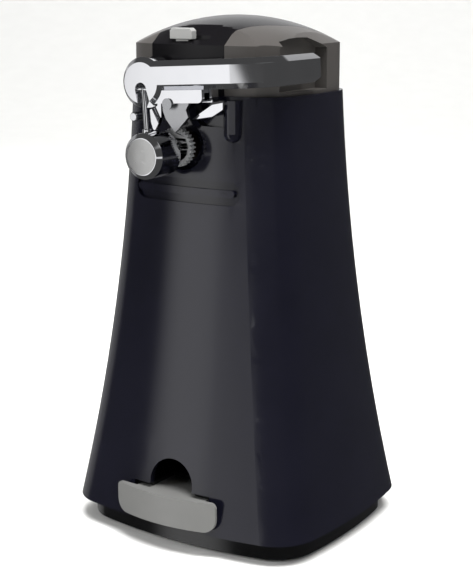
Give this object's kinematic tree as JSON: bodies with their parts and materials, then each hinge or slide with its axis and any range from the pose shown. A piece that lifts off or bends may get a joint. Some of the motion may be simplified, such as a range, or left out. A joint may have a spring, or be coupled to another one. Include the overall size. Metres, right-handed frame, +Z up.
{
  "type": "electric can opener",
  "caption": "Free-standing electric can opener: bell-shaped housing, hinged cutting lever with a swinging lid magnet, toothed feed wheel, gear train and pull-out tool.",
  "frame": {"origin": "on the table under the middle of the body", "axes": "+X to the right seen from the front, +Y to the back, +Z up"},
  "size_m": [0.1364, 0.1293, 0.245],
  "materials": {
    "housing_gloss": "high gloss moulded plastic, very dark navy",
    "plinth_gloss": "gloss moulded plastic, black",
    "cheek_grey": "satin moulded plastic, warm dark grey",
    "cap_black": "satin to gloss moulded plastic, black",
    "knob_grey": "satin moulded plastic, light grey",
    "handle_grey": "satin moulded plastic, mid grey",
    "chrome_plate": "polished chrome plating",
    "blade_steel": "hardened steel, bright ground",
    "plate_steel": "rolled steel sheet, plain",
    "turned_steel": "turned steel, fine machined",
    "lamination_steel": "stacked electrical steel",
    "satin_nickel": "satin nickel plate",
    "magnet_ferrite": "sintered ferrite, dull black",
    "gear_nylon": "moulded nylon, natural",
    "coil_tape": "winding covered by yellow tape",
    "sintered_bronze": "sintered bronze, oiled",
    "switch_plastic": "moulded phenolic, black",
    "plunger_red": "moulded plastic, red",
    "foot_rubber": "soft moulded rubber, dull black",
    "zinc_screw": "zinc plated steel",
    "spring_wire": "drawn spring wire",
    "tray_black": "moulded plastic, black"
  },
  "bodies": {
    "body": {"main_housing": "housing_gloss", "rear_cover": "housing_gloss", "base_plate": "plinth_gloss", "rubber_feet": "foot_rubber", "base_screws": "zinc_screw", "rear_screws": "zinc_screw", "left_cheek": "cheek_grey", "right_cheek": "cheek_grey", "top_cap": "cap_black", "front_bush": "sintered_bronze", "rear_bush": "sintered_bronze", "lever_bush": "sintered_bronze", "lid_deflector": "chrome_plate", "guide_stud": "chrome_plate", "front_gear_plate": "plate_steel", "rear_gear_plate": "plate_steel", "plate_spacers": "turned_steel", "gear_pins": "turned_steel", "motor_frame": "lamination_steel", "motor_coil": "coil_tape", "motor_bracket": "plate_steel", "motor_screws": "zinc_screw", "micro_switch": "switch_plastic", "cord_inlet": "foot_rubber", "tool_tray": "tray_black", "latch_spring": "spring_wire"},
    "lever": {"lever_arm": "chrome_plate", "lever_shaft": "turned_steel", "lever_cam": "gear_nylon", "blade_carrier": "chrome_plate", "cutter_blade": "blade_steel", "blade_rivet": "turned_steel", "can_guide": "chrome_plate"},
    "magnet": {"magnet_arm": "chrome_plate", "magnet_cup": "chrome_plate", "magnet_disc": "magnet_ferrite", "magnet_face": "satin_nickel"},
    "drive": {"drive_wheel": "blade_steel", "drive_shaft": "turned_steel", "wheel_nut": "turned_steel", "output_gear": "gear_nylon"},
    "second_gear": {"reduction_gear": "gear_nylon"},
    "first_gear": {"motor_gear": "gear_nylon"},
    "rotor": {"motor_rotor": "lamination_steel", "rotor_shaft": "turned_steel", "motor_pinion": "turned_steel"},
    "release": {"release_knob": "knob_grey", "latch_bar": "plate_steel"},
    "plunger": {"switch_plunger": "plunger_red"},
    "tool": {"tool_handle": "handle_grey", "tool_blade": "plate_steel"}
  },
  "joints": [
    {"name": "lever_pivot", "type": "hinge", "parent": "body", "child": "lever", "pos_m": [-0.0182, -0.045, 0.2157], "axis": [0, -1, 0], "range_deg": [0, 20]},
    {"name": "magnet_swing", "type": "hinge", "parent": "lever", "child": "magnet", "pos_m": [-0.0182, -0.0497, 0.2127], "axis": [-1, 0, 0], "range_deg": [0, 90]},
    {"name": "motor_spin", "type": "hinge", "parent": "body", "child": "rotor", "pos_m": [0.00039, 0, 0.11957], "axis": [0, 1, 0], "continuous": true},
    {"name": "first_gear_spin", "type": "hinge", "parent": "body", "child": "first_gear", "pos_m": [-0.00338, -0.02, 0.1347], "axis": [0, 1, 0], "continuous": true},
    {"name": "second_gear_spin", "type": "hinge", "parent": "body", "child": "second_gear", "pos_m": [0.00482, -0.025, 0.15726], "axis": [0, 1, 0], "continuous": true},
    {"name": "drive_spin", "type": "hinge", "parent": "body", "child": "drive", "pos_m": [-0.0032, -0.03, 0.1872], "axis": [0, 1, 0], "continuous": true},
    {"name": "release_slide", "type": "slide", "parent": "body", "child": "release", "axis": [1, 0, 0], "range_m": [0, 0.007], "stiffness_N_per_m": 150, "springref_m": -0.002, "deforming": ["latch_spring"]},
    {"name": "plunger_slide", "type": "slide", "parent": "body", "child": "plunger", "axis": [0, 0, 1], "range_m": [0, 0.001], "stiffness_N_per_m": 200, "springref_m": -0.001},
    {"name": "tool_slide", "type": "slide", "parent": "body", "child": "tool", "axis": [0, -1, 0], "range_m": [0, 0.06]}
  ],
  "couplings": [
    {"joint": "first_gear_spin", "follows": "motor_spin", "ratio": -0.2381},
    {"joint": "second_gear_spin", "follows": "motor_spin", "ratio": 0.059524},
    {"joint": "drive_spin", "follows": "motor_spin", "ratio": -0.014286}
  ]
}
